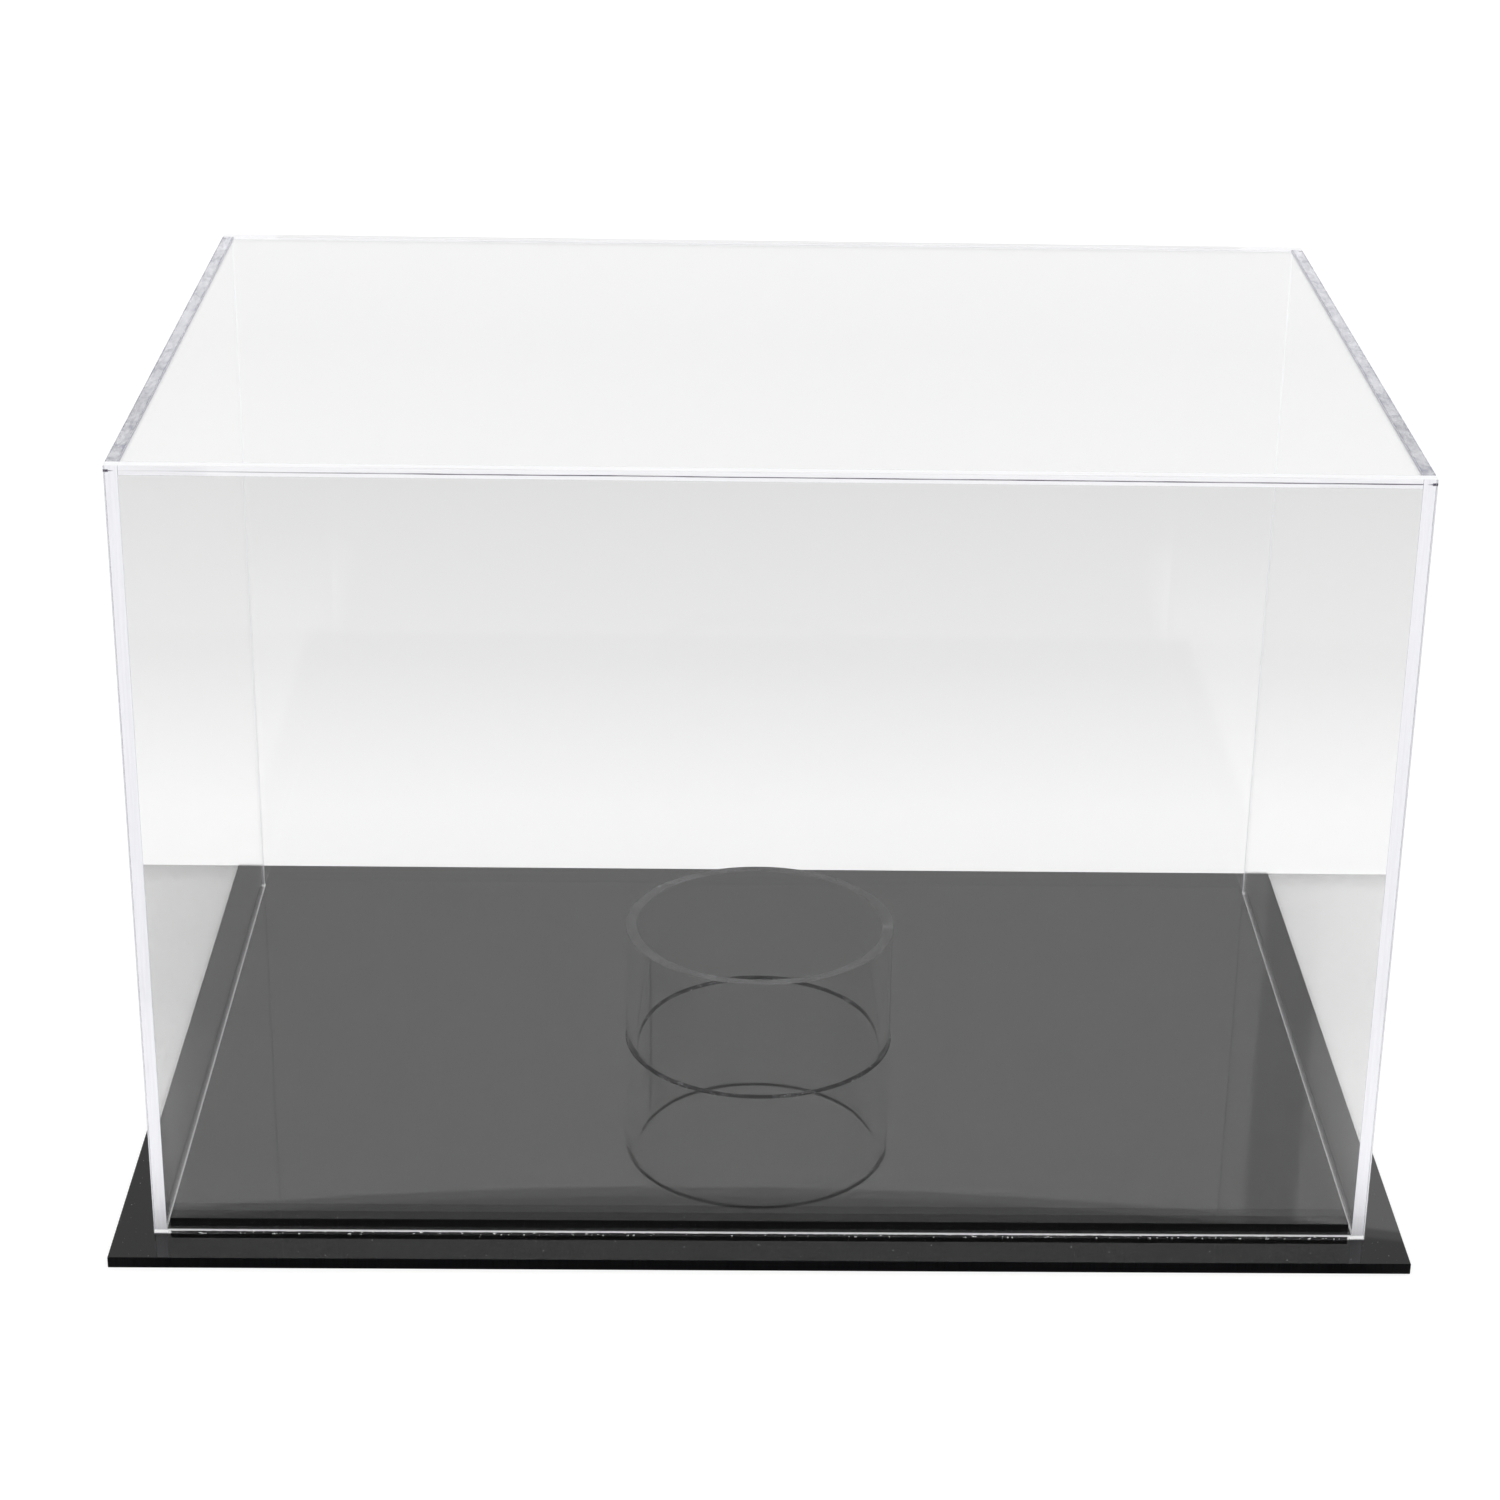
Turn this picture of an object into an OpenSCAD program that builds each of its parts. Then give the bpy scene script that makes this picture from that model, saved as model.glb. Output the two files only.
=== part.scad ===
// Football display case: a clear five-sided acrylic cover that lifts off a
// glossy black base. The base is two black sheets, and a clear ring of tube
// cemented to the upper one carries the ball.
// Millimetres. X is the width, the front is towards -Y, +Z is up, and the
// origin is under the middle of the base.

/* [Cover] */
// Clear width inside the cover
inside_w = 304.8; // [260:0.1:360]
// Clear depth inside the cover, front to back
inside_d = 203.2; // [170:0.1:260]
// Clear height inside the cover, above the lower base sheet
inside_h = 203.2; // [170:0.1:260]
// Thickness of the clear sheet
clear_t = 3; // [2:0.1:5]
// Solvent cement between two clear pieces, and under the ring
cement_t = 0.05; // [0.03:0.01:0.1]
// Air left under the walls, which rest on the high spots of the lower sheet
seat_air = 0.05; // [0.03:0.01:0.1]

/* [Base] */
// Width of the lower black sheet
base_w = 331; // [325:0.5:380]
// Depth of the lower black sheet, front to back
base_d = 235; // [225:0.5:280]
// Thickness of each black sheet
black_t = 3; // [2:0.1:5]
// Play between the riser sheet and the cover's walls, on each side
riser_play = 0.75; // [0.3:0.05:2]
// How far the riser and the cover stand in front of the base's middle
forward = 1.2; // [0:0.1:4]

/* [Ring] */
// Outside diameter of the ring that carries the ball
ring_od = 75; // [60:0.5:100]
// Wall thickness of the ring
ring_wall = 3; // [2:0.1:5]
// Height of the ring
ring_h = 35; // [20:0.5:60]

/* [Hidden] */
$fn = 128;
cover_w = inside_w + 2 * clear_t;
cover_d = inside_d + 2 * clear_t;
cover_h = inside_h + clear_t;
riser_w = inside_w - 2 * riser_play;
riser_d = inside_d - 2 * riser_play;
cover_y = -forward;          // middle of the cover and the riser
cover_z = black_t + seat_air;
riser_top = 2 * black_t;
// The end walls fit between the front and back walls, less a cement line
end_wall_d = inside_d - 2 * cement_t;
// The lid drops in between all four walls
lid_w = inside_w - 2 * cement_t;
lid_d = inside_d - 2 * cement_t;

// A sheet centred on the origin in X and Y, standing on z = 0
module sheet(w, d, h) {
    translate([-w / 2, -d / 2, 0])
        cube([w, d, h]);
}

// Lower black sheet: the margin around the cover, and the face it rests on
module base_sheet() {
    color([0.12, 0.12, 0.13])
        sheet(base_w, base_d, black_t);
}

// Upper black sheet: a raised floor that the cover drops over
module riser_sheet() {
    color([0.2, 0.2, 0.22])
        translate([0, cover_y, black_t])
            sheet(riser_w, riser_d, black_t);
}

// Slice of clear tube, cemented upright on the riser at the base's middle
module ring_stand() {
    color([0.6, 0.85, 0.9])
        translate([0, 0, riser_top + cement_t])
            difference() {
                cylinder(d = ring_od, h = ring_h);
                translate([0, 0, -1])
                    cylinder(d = ring_od - 2 * ring_wall, h = ring_h + 2);
            }
}

// Front and back walls run the full width and height of the cover
module long_wall(side) {
    translate([0, cover_y + side * (cover_d - clear_t) / 2, cover_z])
        sheet(cover_w, clear_t, cover_h);
}

module front_wall() {
    color([0.75, 0.85, 0.95])
        long_wall(-1);
}

module back_wall() {
    color([0.65, 0.75, 0.9])
        long_wall(1);
}

// End walls run the full height, between the front and back walls
module end_wall(side) {
    translate([side * (cover_w - clear_t) / 2, cover_y, cover_z])
        sheet(clear_t, end_wall_d, cover_h);
}

module left_wall() {
    color([0.9, 0.8, 0.7])
        end_wall(-1);
}

module right_wall() {
    color([0.9, 0.7, 0.6])
        end_wall(1);
}

// Lid panel, flush with the walls' top edges
module lid_panel() {
    color([0.7, 0.9, 0.75])
        translate([0, cover_y, cover_z + inside_h])
            sheet(lid_w, lid_d, clear_t);
}

base_sheet();
riser_sheet();
ring_stand();
front_wall();
back_wall();
left_wall();
right_wall();
lid_panel();
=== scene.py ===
"""Football display case: a clear acrylic cover over a glossy black base, with a clear ring stand.

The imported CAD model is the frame. This script gives its nodes their materials and small arrises,
adds the cement that holds the ring, and sets up the studio and the camera. Lengths are in metres.
"""

import math

import bpy
from mathutils import Matrix, Vector


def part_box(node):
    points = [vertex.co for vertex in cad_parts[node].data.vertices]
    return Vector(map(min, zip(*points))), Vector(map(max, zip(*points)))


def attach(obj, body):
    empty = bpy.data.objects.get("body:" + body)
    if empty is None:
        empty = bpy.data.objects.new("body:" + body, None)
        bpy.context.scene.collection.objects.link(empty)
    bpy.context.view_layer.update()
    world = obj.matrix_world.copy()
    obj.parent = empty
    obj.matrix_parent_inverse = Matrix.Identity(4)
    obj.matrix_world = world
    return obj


MM = 0.001

# Camera, in the row frame
CAMERA_PLACE = Vector((-0.0135, -0.8583, 0.4623))
CAMERA_YAW = 1.487  # degrees, to the right of straight ahead
CAMERA_PITCH = 23.741  # degrees, below level
CAMERA_ROLL = 1.088  # degrees
SENSOR_WIDTH = 36.0  # millimetres
LENS = 81.63  # millimetres
LENS_SHIFT = (-0.0292, 0.02)

# Acrylic
ACRYLIC_IOR = 1.49
RING_WALL = 3 * MM
CEMENT_CREEP = 0.35 * MM  # how far the cement stands out from the foot of the ring
PANEL_TINT = (0.97, 0.97, 0.97)
CEMENT_LINE_DEPTH = 1.9 * MM  # below the lid's top
CEMENT_LINE_WIDTH = 0.28 * MM
SCRAPED = 0.85 * MM  # width of the frosted strip at the bottom of the walls
JOINT_SKIN = 0.04 * MM  # a cemented joint starts this far under the cover's surface

# Studio. Elevations are in degrees, and a light of 1 is as bright as white paper
WALL_TOP = (22.5, 24.5)  # where the bright backdrop gives way to the dim wall above it
WALL_LIGHT = (1.25, 0.52)
CEILING = (44, 50)  # where the soft box overhead begins
CEILING_LIGHT = 0.8
SCREEN_SPAN = (25, 30.5)
SCREEN_LIGHT = (0.42, 0.8)  # over that of the wall
RIM_FOOT = (30.56, 30.6)  # the screen's greyer rim
RIM_TOP = (30.7, 30.75)
RIM_SHARE = 0.35
POST_LEFT = (-0.201, -0.199)  # the two edges of the screen's post, as metres across to a metre back
POST_RIGHT = (-0.183, -0.181)
FLOOR_WHITE = 0.72
FLOOR_GREY = 0.35  # the part of the floor's brightness that comes from the studio
FLOOR_BEHIND = 0.74
FLOOR_FALLS = ((0.17, 0.30, 0.17), (0.30, 0.70, 0.17))  # from and to, in metres back, and by how much
FLOOR_IN_FRONT = 0.13
FLOOR_BESIDE = (1.12, 1.26)  # left and right of the case
FLOOR_FAR = 0.92


def make_camera():
    """The photograph's viewpoint."""
    data = bpy.data.cameras.new("camera")
    data.sensor_width = SENSOR_WIDTH
    data.lens = LENS
    data.shift_x, data.shift_y = LENS_SHIFT
    data.clip_start, data.clip_end = 0.05, 60.0
    camera = bpy.data.objects.new("camera", data)
    bpy.context.scene.collection.objects.link(camera)
    turn = Matrix.Rotation(math.radians(-CAMERA_YAW), 4, "Z")
    tilt = Matrix.Rotation(math.radians(90 - CAMERA_PITCH), 4, "X")
    roll = Matrix.Rotation(math.radians(CAMERA_ROLL), 4, "Z")
    camera.matrix_world = Matrix.Translation(CAMERA_PLACE) @ turn @ tilt @ roll
    bpy.context.scene.camera = camera


class Tree:
    """A node tree that is being built, with short calls for its nodes."""

    def __init__(self, material):
        self.tree = material.node_tree
        self.tree.nodes.clear()

    def node(self, kind, **settings):
        n = self.tree.nodes.new(kind)
        for name, value in settings.items():
            setattr(n, name, value)
        return n

    def link(self, source, target):
        self.tree.links.new(source, target)

    def math(self, operation, a, b=None):
        n = self.node("ShaderNodeMath", operation=operation)
        for socket, value in zip(n.inputs, (a, b)):
            if isinstance(value, (int, float)):
                socket.default_value = value
            elif value is not None:
                self.link(value, socket)
        return n.outputs[0]

    def spread(self, value, low, high, out_low=0.0, out_high=1.0):
        """value between low and high, spread over out_low to out_high and held at the ends."""
        n = self.node("ShaderNodeMapRange", clamp=True)
        self.link(value, n.inputs["Value"])
        n.inputs["From Min"].default_value = low
        n.inputs["From Max"].default_value = high
        n.inputs["To Min"].default_value = out_low
        n.inputs["To Max"].default_value = out_high
        return n.outputs["Result"]

    def noise(self, vector, scale, detail=2.0, roughness=0.5):
        n = self.node("ShaderNodeTexNoise")
        self.link(vector, n.inputs["Vector"])
        n.inputs["Scale"].default_value = scale
        n.inputs["Detail"].default_value = detail
        n.inputs["Roughness"].default_value = roughness
        return n.outputs["Fac"]

    def stretched(self, vector, scale):
        """vector with each axis multiplied by its own number."""
        n = self.node("ShaderNodeVectorMath", operation="MULTIPLY")
        self.link(vector, n.inputs[0])
        n.inputs[1].default_value = scale
        return n.outputs[0]

    def place(self):
        """The point on the object, in metres."""
        return self.node("ShaderNodeTexCoord").outputs["Object"]

    def parts(self, vector):
        """The sockets of vector's X, Y and Z."""
        n = self.node("ShaderNodeSeparateXYZ")
        self.link(vector, n.inputs[0])
        return n.outputs

    def facing(self, axis):
        """How squarely the surface faces along an axis, one way or the other."""
        normal = self.node("ShaderNodeTexCoord").outputs["Normal"]
        return self.math("ABSOLUTE", self.parts(normal)[axis])

    def blend(self, share, first, second):
        """The first colour where share is 0 and the second where it is 1."""
        n = self.node("ShaderNodeMix", data_type="RGBA")
        self.link(share, n.inputs["Factor"])
        n.inputs["A"].default_value = (*first, 1)
        n.inputs["B"].default_value = (*second, 1)
        return n.outputs["Result"]

    def finish(self, surface, kind="ShaderNodeOutputMaterial"):
        self.link(surface, self.node(kind).inputs["Surface"])


def new_material(name):
    material = bpy.data.materials.new(name)
    material.use_nodes = True
    return material, Tree(material)


def specks(t, place, spacing, size, share):
    """Dust seen from above: one round speck to a cell, on share of the cells, at its own strength."""
    cells = t.node("ShaderNodeTexVoronoi", voronoi_dimensions="2D")
    t.link(place, cells.inputs["Vector"])
    cells.inputs["Scale"].default_value = 1 / spacing
    near = t.spread(cells.outputs["Distance"], 0.4 * size / spacing, 0.6 * size / spacing, 1, 0)
    chance = t.parts(cells.outputs["Color"])["X"]
    return t.math("MULTIPLY", near, t.spread(chance, 1 - share, 1))


def glossy_face(t, place):
    """Cast black sheet under a few specks of dust."""
    shader = t.node("ShaderNodeBsdfPrincipled")
    coarse = specks(t, place, 9 * MM, 0.22 * MM, 0.6)
    fine = specks(t, place, 2.5 * MM, 0.1 * MM, 0.4)
    dust = t.math("MAXIMUM", coarse, fine)
    t.link(t.blend(dust, (0.002, 0.002, 0.002), (0.32, 0.32, 0.33)), shader.inputs["Base Color"])
    t.link(t.spread(dust, 0, 1, 0.012, 0.6), shader.inputs["Roughness"])
    shader.inputs["IOR"].default_value = ACRYLIC_IOR
    return shader.outputs[0]


def satin_cut(t, place):
    """The sheet's cut edge: dull black with fine upright tool marks."""
    shader = t.node("ShaderNodeBsdfPrincipled")
    marks = t.noise(t.stretched(place, (1, 1, 0.04)), 4000, 3.0)
    colour = t.blend(t.spread(marks, 0.35, 0.75), (0.0015, 0.0015, 0.002), (0.005, 0.005, 0.0055))
    t.link(colour, shader.inputs["Base Color"])
    t.link(t.spread(marks, 0.3, 0.7, 0.22, 0.45), shader.inputs["Roughness"])
    shader.inputs["IOR"].default_value = ACRYLIC_IOR
    shader.inputs["Specular IOR Level"].default_value = 0.03
    return shader.outputs[0]


def black_acrylic():
    """Black sheet: glossy above and below, satin where it was cut."""
    material, t = new_material("black_acrylic_looks")
    place = t.place()
    level = t.math("GREATER_THAN", t.facing("Z"), 0.98)
    t.finish(mixed(t, level, satin_cut(t, place), glossy_face(t, place)))
    return material


def depths(t, place):
    """How deep a point is under the cover's outer box, and how far outside its hollow.

    The last socket is how far outside the hollow it is seen from above.
    """
    parts = t.parts(place)
    across = t.math("ABSOLUTE", parts["X"])
    along = t.math("ABSOLUTE", t.math("SUBTRACT", parts["Y"], COVER_MID.y))
    height = parts["Z"]
    under_skin = t.math("SUBTRACT", COVER_HALF.x, across)
    for depth in (
        t.math("SUBTRACT", COVER_HALF.y, along),
        t.math("SUBTRACT", COVER_HIGH.z, height),
        t.math("SUBTRACT", height, COVER_LOW.z),
    ):
        under_skin = t.math("MINIMUM", under_skin, depth)
    past_ends = t.math("SUBTRACT", across, INSIDE_HALF.x)
    level = t.math("MAXIMUM", past_ends, t.math("SUBTRACT", along, INSIDE_HALF.y))
    off_inside = t.math("MAXIMUM", level, t.math("SUBTRACT", height, LID_LOW.z))
    return under_skin, off_inside, level


def mixed(t, share, first, second):
    """first where share is 0 and second where it is 1."""
    n = t.node("ShaderNodeMixShader")
    for source, socket in zip((share, first, second), n.inputs):
        if isinstance(source, (int, float)):
            socket.default_value = source
        else:
            t.link(source, socket)
    return n.outputs[0]


def plain(t, kind, colour):
    """A shader with one colour and nothing else to set."""
    n = t.node(kind)
    n.inputs["Color"].default_value = (*colour, 1)
    return n.outputs[0]


def glass(t, tint, roughness):
    """Clear acrylic. The tint is a colour or a socket, and the roughness a number or a socket."""
    n = t.node("ShaderNodeBsdfPrincipled")
    if isinstance(tint, tuple):
        n.inputs["Base Color"].default_value = (*tint, 1)
    else:
        t.link(tint, n.inputs["Base Color"])
    n.inputs["Transmission Weight"].default_value = 1.0
    n.inputs["IOR"].default_value = ACRYLIC_IOR
    if isinstance(roughness, (int, float)):
        n.inputs["Roughness"].default_value = roughness
    else:
        t.link(roughness, n.inputs["Roughness"])
    return n.outputs[0]


def lamps_pass(t, surface):
    """Ends the material with surface, which lets light for other things straight through."""
    rays = t.node("ShaderNodeLightPath")
    open_way = plain(t, "ShaderNodeBsdfTransparent", (0.97, 0.97, 0.97))
    surface = mixed(t, rays.outputs["Is Diffuse Ray"], surface, open_way)
    surface = mixed(t, rays.outputs["Is Shadow Ray"], surface, open_way)
    t.finish(surface)


def diffuse(t, *colour):
    return plain(t, "ShaderNodeBsdfDiffuse", colour)


def cement_line(t, place):
    """1 on the thin line where the cement stopped, at one depth below the cover's top, broken in places."""
    below = t.math("SUBTRACT", COVER_HIGH.z, t.parts(place)["Z"])
    drift = t.spread(t.noise(place, 30, 1.0), 0.3, 0.7, -0.04 * MM, 0.04 * MM)
    off_line = t.math("ABSOLUTE", t.math("SUBTRACT", t.math("ADD", below, drift), CEMENT_LINE_DEPTH))
    line = t.spread(off_line, 0.4 * CEMENT_LINE_WIDTH, 0.6 * CEMENT_LINE_WIDTH, 1, 0)
    breaks = t.noise(t.stretched(place, (1, 0, 0)), 60, 2.0)
    return t.math("MULTIPLY", line, t.spread(breaks, 0.3, 0.6, 0.6, 1.0))


def cut_colour(t, place, across):
    """An end wall's cut edge: a tint with fine saw marks over broad darker patches, darker towards the
    front and at both arrises.
    """
    marks = t.spread(t.noise(t.stretched(place, (1.2, 0.4, 1)), 900, 3.0, 0.65), 0.4, 0.6)
    patches = t.spread(t.noise(t.stretched(place, (0.3, 1, 0)), 85, 3.0, 0.6), 0.38, 0.62)
    # The tint grows darker towards the front
    to_front = t.spread(t.parts(place)["Y"], 0.0, -0.1, 0, 0.25)
    from_inside = t.math("SUBTRACT", across, INSIDE_HALF.x)
    from_outside = t.math("SUBTRACT", COVER_HALF.x, across)
    arris = t.spread(t.math("MINIMUM", from_inside, from_outside), 0.15 * MM, 0.5 * MM, 0.5, 0)
    dull = t.math("ADD", t.math("MULTIPLY", marks, 0.4), t.math("MULTIPLY", patches, 0.4))
    dull = t.math("ADD", dull, t.math("MAXIMUM", to_front, arris))
    return t.blend(dull, (0.74, 0.75, 0.79), (0.06, 0.065, 0.12))


def open_edge(t, place, thin_axis, across, streaks, white):
    """A cut edge that isn't cemented. The long walls' top edges are white in streaks, a painted highlight
    in place of their rounded arris.
    """
    tint = cut_colour(t, place, across) if thin_axis == "X" else (0.95, 0.95, 0.97)
    edge = glass(t, tint, t.spread(streaks, 0.4, 0.7, 0.05, 0.25))
    if thin_axis == "Y":
        # Painted highlight: white in streaks along the long walls' top edges
        at_top = t.math("GREATER_THAN", t.parts(place)["Z"], COVER_HIGH.z - 0.1 * MM)
        top_highlight = t.math("MULTIPLY", at_top, t.spread(streaks, 0.3, 0.7, 0.75, 0.95))
        edge = mixed(t, top_highlight, edge, white)
    return edge


def frosted_bottom(t, place, across, level):
    """1 on the scraped strip round the inside of the walls' bottom, and on spots of frost beside it."""
    ragged = t.math("ADD", level, t.spread(t.noise(place, 500, 3.0), 0.3, 0.7, -0.15 * MM, 0.15 * MM))
    strip = t.math("LESS_THAN", ragged, SCRAPED)
    corner = t.math("GREATER_THAN", across, INSIDE_HALF.x - 0.5 * MM)
    spots = t.math("GREATER_THAN", t.noise(place, 1100, 1.0), 0.7)
    frosted = t.math("MAXIMUM", strip, t.math("MAXIMUM", corner, spots))
    above = t.math("SUBTRACT", t.parts(place)["Z"], COVER_LOW.z)
    return t.math("MULTIPLY", frosted, t.math("LESS_THAN", above, 0.25 * MM))


def corner_void(t, place, across):
    """1 where the cement missed the outer corner of an end wall."""
    below = t.math("SUBTRACT", COVER_HIGH.z, t.parts(place)["Z"])
    off_void = t.math("ABSOLUTE", t.math("SUBTRACT", below, CEMENT_LINE_DEPTH))
    off_void = t.math("MAXIMUM", off_void, t.math("SUBTRACT", COVER_HALF.x - 0.5 * MM, across))
    return t.spread(off_void, 0.25 * MM, 0.4 * MM, 1, 0)


def cemented_edge(t, place, thin_axis, across, is_cut, streaks):
    """Clear through, with a haze and a dark line where the cut edge took the cement."""
    if thin_axis == "X":
        hazy = diffuse(t, 0.91, 0.91, 0.95)
        reach = t.spread(across, INSIDE_HALF.x + 0.8 * MM, COVER_HALF.x, 0, 1.6)
    else:
        at_ends = t.math("GREATER_THAN", across, INSIDE_HALF.x - 0.1 * MM)
        hazy = mixed(t, at_ends, diffuse(t, 0.95, 0.95, 0.975), diffuse(t, 0.3, 0.3, 0.36))
        reach = t.spread(t.parts(place)["X"], -0.15, -0.08, 0.1, 1.0)
    line = t.math("MULTIPLY", cement_line(t, place), reach)
    if thin_axis == "X":
        line = t.math("MAXIMUM", line, corner_void(t, place, across))
    hazy = mixed(t, line, hazy, diffuse(t, 0.07, 0.055, 0.09))
    haze = t.math("MULTIPLY", is_cut, t.spread(streaks, 0.3, 0.7, 0.85, 1.0))
    return mixed(t, haze, plain(t, "ShaderNodeBsdfTransparent", (1, 1, 1)), hazy)


def clear_sheet(name, thin_axis, grain):
    """Clear sheet: polished faces, streaky cut edges, cemented joints and a frosted bottom.

    grain is the direction of the streaks on the cut edges, as one factor to each axis.
    """
    material, t = new_material(name)
    place = t.place()
    across = t.math("ABSOLUTE", t.parts(place)["X"])
    under_skin, off_inside, level = depths(t, place)
    is_cut = t.math("LESS_THAN", t.facing(thin_axis), 0.5)
    streaks = t.noise(t.stretched(place, grain), 900, 4.0, 0.6)
    white = diffuse(t, 0.95, 0.95, 0.96)
    edge = open_edge(t, place, thin_axis, across, streaks, white)
    body = mixed(t, is_cut, glass(t, PANEL_TINT, 0.0), edge)
    body = mixed(t, frosted_bottom(t, place, across, level), body, white)
    joint = cemented_edge(t, place, thin_axis, across, is_cut, streaks)
    is_joint = t.math("GREATER_THAN", t.math("MINIMUM", under_skin, off_inside), JOINT_SKIN)
    lamps_pass(t, mixed(t, is_joint, body, joint))
    return material


def clear_tube():
    """Clear tube: polished, with a satin cut top, and optically joined to the cement at its bottom."""
    material, t = new_material("clear_tube_looks")
    place = t.place()
    height = t.parts(place)["Z"]
    low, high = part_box("ring_stand")
    at_top = t.math("GREATER_THAN", height, high.z - 0.01 * MM)
    at_foot = t.math("LESS_THAN", height, low.z + 0.01 * MM)
    marks = t.noise(place, 700, 4.0, 0.6)
    satin = glass(t, (0.9, 0.9, 0.93), t.spread(marks, 0.45, 0.75, 0.0, 0.05))
    body = mixed(t, at_top, glass(t, (0.985, 0.985, 0.985), 0.0), satin)
    joined = plain(t, "ShaderNodeBsdfTransparent", (1, 1, 1))
    lamps_pass(t, mixed(t, at_foot, body, joined))
    return material


def cement_film():
    """The cement under the ring: dark where it joins, with smears and small air pockets whose glints are
    painted as light specks.
    """
    material, t = new_material("cement_film_looks")
    place = t.place()
    cells = t.node("ShaderNodeTexVoronoi")
    t.link(place, cells.inputs["Vector"])
    cells.inputs["Scale"].default_value = 1300
    # Painted glints: the air pockets are light grey specks in the colour
    bubble_glints = t.spread(cells.outputs["Distance"], 0.14, 0.3, 1, 0)
    bubble_glints = t.math("MULTIPLY", bubble_glints, t.spread(t.noise(place, 160, 2.0), 0.5, 0.62))
    smears = t.spread(t.noise(place, 300, 3.0), 0.45, 0.8, 0, 0.14)
    matt = t.node("ShaderNodeBsdfDiffuse")
    colour = t.blend(t.math("ADD", bubble_glints, smears), (0.004, 0.004, 0.005), (0.6, 0.6, 0.61))
    t.link(colour, matt.inputs["Color"])
    t.finish(matt.outputs[0])
    return material


def wander(angle, seed):
    """A smooth uneven number between about -1 and 1, the same every run, that closes in a full turn."""
    waves = (math.sin(n * angle + seed * (n + 0.7)) / (1 + 0.35 * n) for n in (1, 2, 3, 5, 8, 13, 21))
    return sum(waves) / 2.2


def make_ring_cement():
    """A thin uneven film that fills the space under the ring and creeps out a little at its foot."""
    low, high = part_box("ring_stand")
    middle = (low + high) / 2
    outer = (high.x - low.x) / 2
    inner = outer - RING_WALL
    riser_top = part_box("riser_sheet")[1].z
    # Inner and outer outline of the film's underside, then outer and inner outline of its top
    outlines = ((False, 0.008), (True, 0.008), (True, 0.042), (False, 0.042))
    steps = 720
    verts = []
    for is_outer, lift in outlines:
        for i in range(steps):
            angle = 2 * math.pi * i / steps
            if is_outer:
                radius = outer + CEMENT_CREEP * (0.5 + 0.5 * wander(angle, 7.4))
            else:
                radius = inner - CEMENT_CREEP * (0.5 + 0.45 * wander(angle, 3.1))
            x = middle.x + radius * math.cos(angle)
            y = middle.y + radius * math.sin(angle)
            verts.append((x, y, riser_top + lift * MM))
    faces = []
    for a, b in ((1, 0), (2, 1), (3, 2), (0, 3)):
        for i in range(steps):
            j = (i + 1) % steps
            faces.append((a * steps + i, a * steps + j, b * steps + j, b * steps + i))
    mesh = bpy.data.meshes.new("ring_cement")
    mesh.from_pydata(verts, [], faces)
    mesh.validate()
    mesh.materials.append(cement_film())
    film = bpy.data.objects.new("ring_cement", mesh)
    bpy.context.scene.collection.objects.link(film)
    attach(film, "base")


def dress(name, material, arris=0.0):
    """Gives a CAD node its material and, on a black sheet, a small rounded arris."""
    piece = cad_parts[name]
    for slot in piece.material_slots:
        slot.material = material
    if arris:
        weld = piece.modifiers.new("weld", "WELD")
        weld.merge_threshold = 1e-6
        bevel = piece.modifiers.new("arris", "BEVEL")
        bevel.width = arris
        bevel.segments = 2
        bevel.limit_method = "ANGLE"
        bevel.angle_limit = math.radians(60)
        bevel.harden_normals = True


def floor_glow(t, place, rays):
    """How bright each place on the floor is to glass and gloss, over what the studio's light adds."""
    parts = t.parts(place)
    across, back = parts["X"], parts["Y"]
    glow = t.spread(back, -0.11, 0.05, FLOOR_IN_FRONT, FLOOR_BEHIND)
    for start, end, fall in FLOOR_FALLS:
        glow = t.math("SUBTRACT", glow, t.spread(back, start, end, 0, fall))
    beside = t.spread(t.math("ABSOLUTE", across), 0.15, 0.165)
    beside = t.math("MULTIPLY", beside, t.spread(back, 0.11, 0.15, 1, 0))
    beside = t.math("MULTIPLY", beside, t.spread(back, -0.25, -0.15))
    beside = t.math("MULTIPLY", beside, t.spread(across, -0.16, 0.16, *FLOOR_BESIDE))
    glow = t.math("MAXIMUM", glow, beside)
    # The floor in front is dim only in reflections
    unreflected = t.math("LESS_THAN", rays.outputs["Glossy Depth"], 0.5)
    in_front = t.spread(back, -0.1, 0.02, FLOOR_BEHIND, 0)
    glow = t.math("MAXIMUM", glow, t.math("MULTIPLY", unreflected, in_front))
    distance = t.node("ShaderNodeVectorMath", operation="LENGTH")
    t.link(place, distance.inputs[0])
    return t.math("MAXIMUM", glow, t.spread(distance.outputs["Value"], 1.2, 2.5, 0, FLOOR_FAR))


def make_floor():
    """Wide pale floor: white to the eye, and as bright as its place in the studio to glass and gloss."""
    mesh = bpy.data.meshes.new("floor")
    half = 12.0
    corners = [(-half, -half, 0), (half, -half, 0), (half, half, 0), (-half, half, 0)]
    mesh.from_pydata(corners, [], [(0, 1, 2, 3)])
    floor = bpy.data.objects.new("floor", mesh)
    bpy.context.scene.collection.objects.link(floor)
    material, t = new_material("floor_looks")
    rays = t.node("ShaderNodeLightPath")
    light = t.node("ShaderNodeEmission")
    t.link(floor_glow(t, t.place(), rays), light.inputs["Strength"])
    white = t.node("ShaderNodeEmission")
    white.inputs["Strength"].default_value = FLOOR_WHITE
    both = t.node("ShaderNodeAddShader")
    t.link(mixed(t, rays.outputs["Is Camera Ray"], light.outputs[0], white.outputs[0]), both.inputs[0])
    t.link(diffuse(t, FLOOR_GREY, FLOOR_GREY, FLOOR_GREY), both.inputs[1])
    t.finish(both.outputs[0])
    material.cycles.emission_sampling = "NONE"
    mesh.materials.append(material)


def between(t, rise, elevations, low, high):
    """low below two elevations and high above them, for the height of a direction."""
    start, end = (math.sin(math.radians(angle)) for angle in elevations)
    return t.spread(rise, start, end, low, high)


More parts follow.
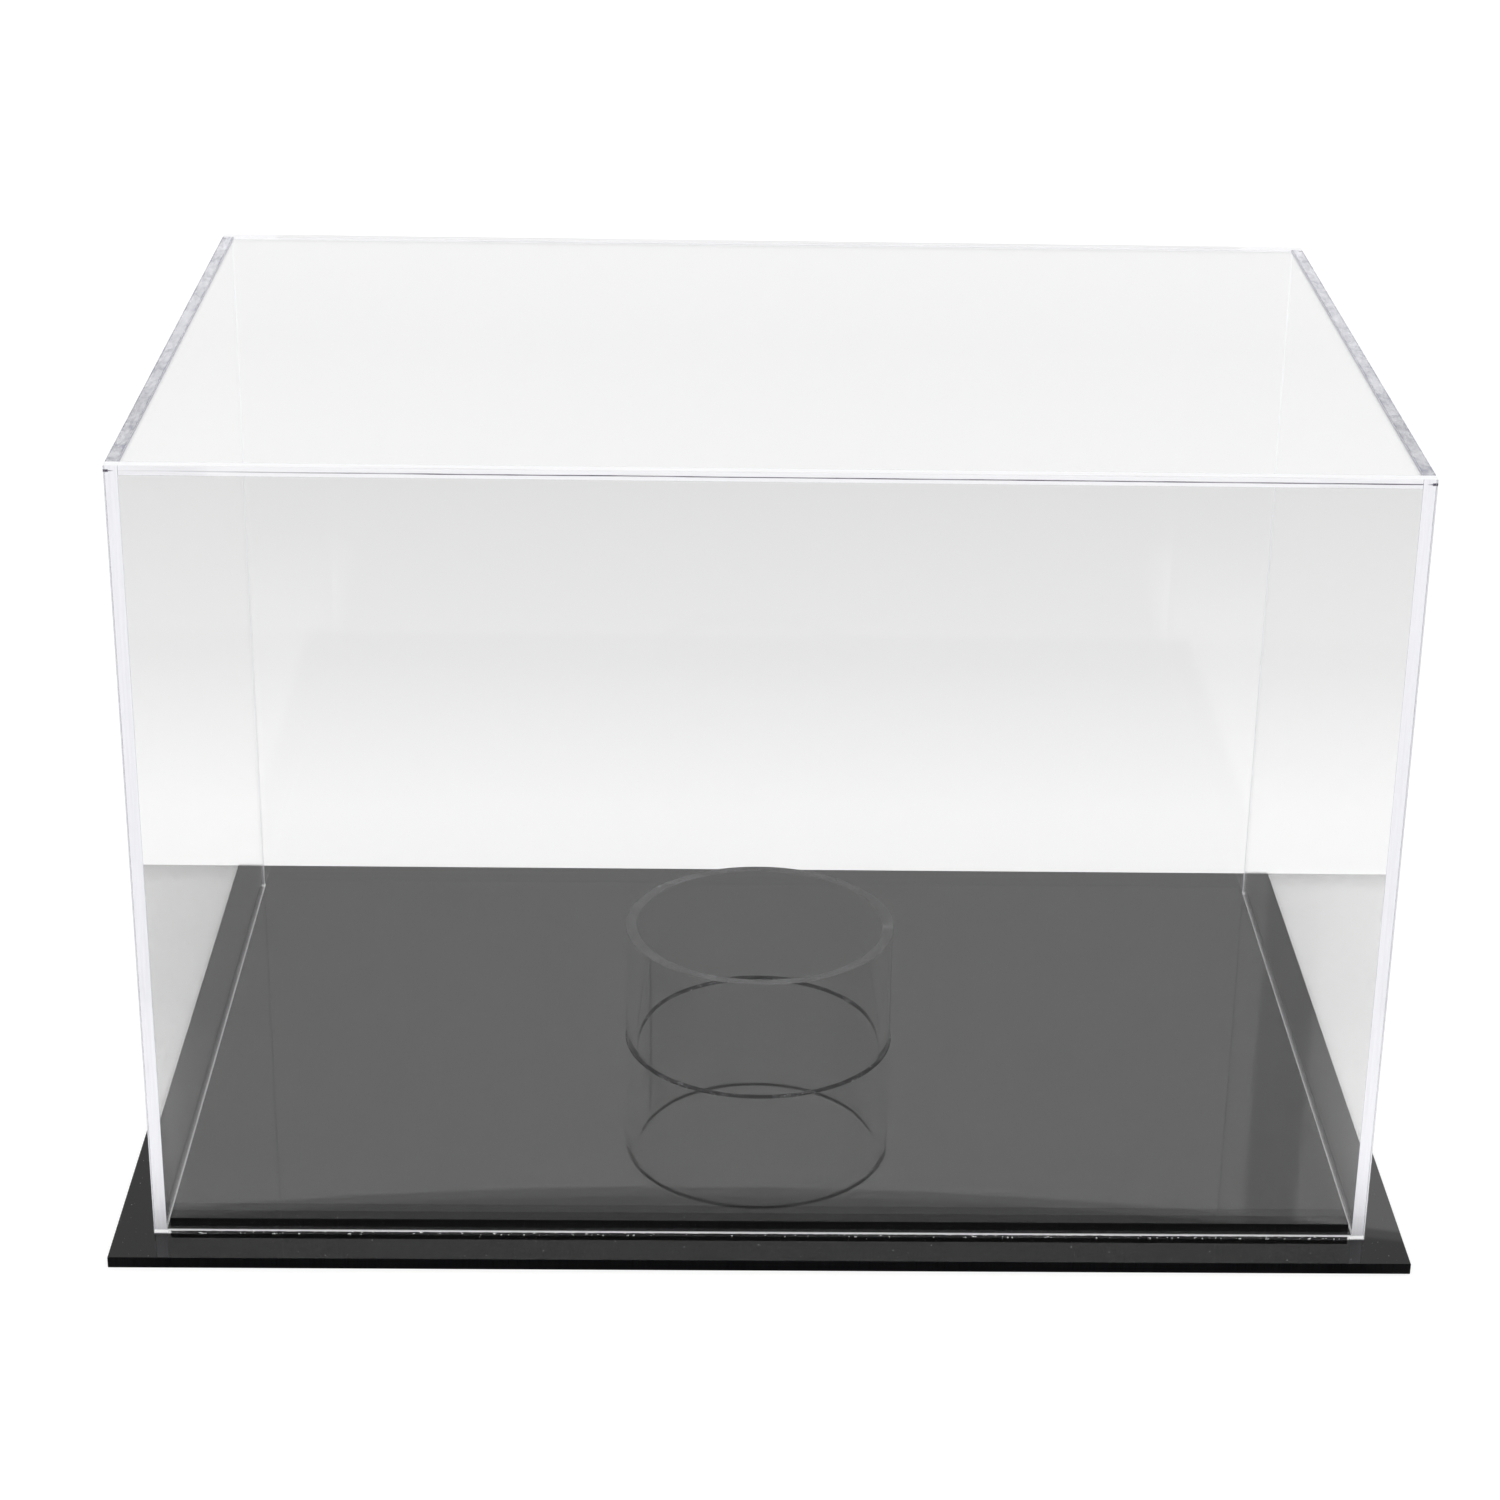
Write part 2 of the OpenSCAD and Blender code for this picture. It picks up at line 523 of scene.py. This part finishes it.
def screen_light(t, direction, rise):
    """A bright screen behind the case, with a greyer rim along its top and a dark post on its left."""
    screen = between(t, rise, SCREEN_SPAN, *SCREEN_LIGHT)
    across, back = direction["X"], direction["Y"]
    aside = t.math("DIVIDE", across, t.math("MAXIMUM", back, 0.01))
    left_of_post = t.spread(aside, *POST_LEFT, 1, 0)
    right_of_post = t.spread(aside, *POST_RIGHT)
    for share in (
        between(t, rise, WALL_TOP, 0, 1),
        between(t, rise, RIM_FOOT, 1, RIM_SHARE),
        between(t, rise, RIM_TOP, 1, 0),
        t.spread(back, 0.3, 0.5),
        t.math("MAXIMUM", left_of_post, right_of_post),
    ):
        screen = t.math("MULTIPLY", screen, share)
    return screen


def make_surroundings():
    """White backdrop to the eye. To glass and gloss: a backdrop, a dim wall, a screen and a soft box."""
    world = bpy.data.worlds.new("studio")
    bpy.context.scene.world = world
    world.use_nodes = True
    t = Tree(world)
    direction = t.parts(t.node("ShaderNodeTexCoord").outputs["Generated"])
    rise = direction["Z"]
    wall = t.math("ADD", between(t, rise, WALL_TOP, *WALL_LIGHT), screen_light(t, direction, rise))
    ceiling = between(t, rise, CEILING, 0, CEILING_LIGHT)
    around = t.node("ShaderNodeBackground")
    t.link(t.math("ADD", wall, ceiling), around.inputs["Strength"])
    backdrop = t.node("ShaderNodeBackground")
    for source in (around, backdrop):
        source.inputs["Color"].default_value = (1, 1, 1, 1)
    rays = t.node("ShaderNodeLightPath")
    seen = mixed(t, rays.outputs["Is Camera Ray"], around.outputs[0], backdrop.outputs[0])
    t.finish(seen, "ShaderNodeOutputWorld")


def make_studio():
    """Floor, surroundings, and the depth of bounces that clear sheet needs."""
    make_floor()
    make_surroundings()
    scene = bpy.context.scene
    scene.view_settings.view_transform = "Standard"
    scene.cycles.max_bounces = 48
    scene.cycles.glossy_bounces = 32
    scene.cycles.transmission_bounces = 32
    scene.cycles.transparent_max_bounces = 32


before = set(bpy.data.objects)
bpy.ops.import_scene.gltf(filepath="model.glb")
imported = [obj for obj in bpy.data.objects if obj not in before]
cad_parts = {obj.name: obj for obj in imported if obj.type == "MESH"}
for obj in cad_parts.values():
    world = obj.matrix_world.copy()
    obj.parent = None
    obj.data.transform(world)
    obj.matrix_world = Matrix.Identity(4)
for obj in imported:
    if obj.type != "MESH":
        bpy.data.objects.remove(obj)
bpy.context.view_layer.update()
make_camera()

# The cover's outer box and the space inside it
COVER_LOW, COVER_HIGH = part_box("front_wall")
COVER_HIGH.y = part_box("back_wall")[1].y
INSIDE_LOW = Vector((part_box("left_wall")[1].x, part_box("front_wall")[1].y, COVER_LOW.z))
INSIDE_HIGH = Vector((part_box("right_wall")[0].x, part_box("back_wall")[0].y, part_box("lid_panel")[0].z))
LID_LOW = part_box("lid_panel")[0]
COVER_MID = (COVER_LOW + COVER_HIGH) / 2
COVER_HALF = (COVER_HIGH - COVER_LOW) / 2
INSIDE_HALF = (INSIDE_HIGH - INSIDE_LOW) / 2

black = black_acrylic()
long_wall = clear_sheet("clear_long_wall_looks", "Y", (0.04, 1, 0.04))
end_wall = clear_sheet("clear_end_wall_looks", "X", (1, 0.04, 0.04))
lid = clear_sheet("clear_lid_looks", "Z", (0.05, 0.05, 1))
tube = clear_tube()
for name in ("base_sheet", "riser_sheet"):
    dress(name, black, 0.2 * MM)
dress("front_wall", long_wall)
dress("back_wall", long_wall)
dress("left_wall", end_wall)
dress("right_wall", end_wall)
dress("lid_panel", lid)
dress("ring_stand", tube)

make_ring_cement()
make_studio()
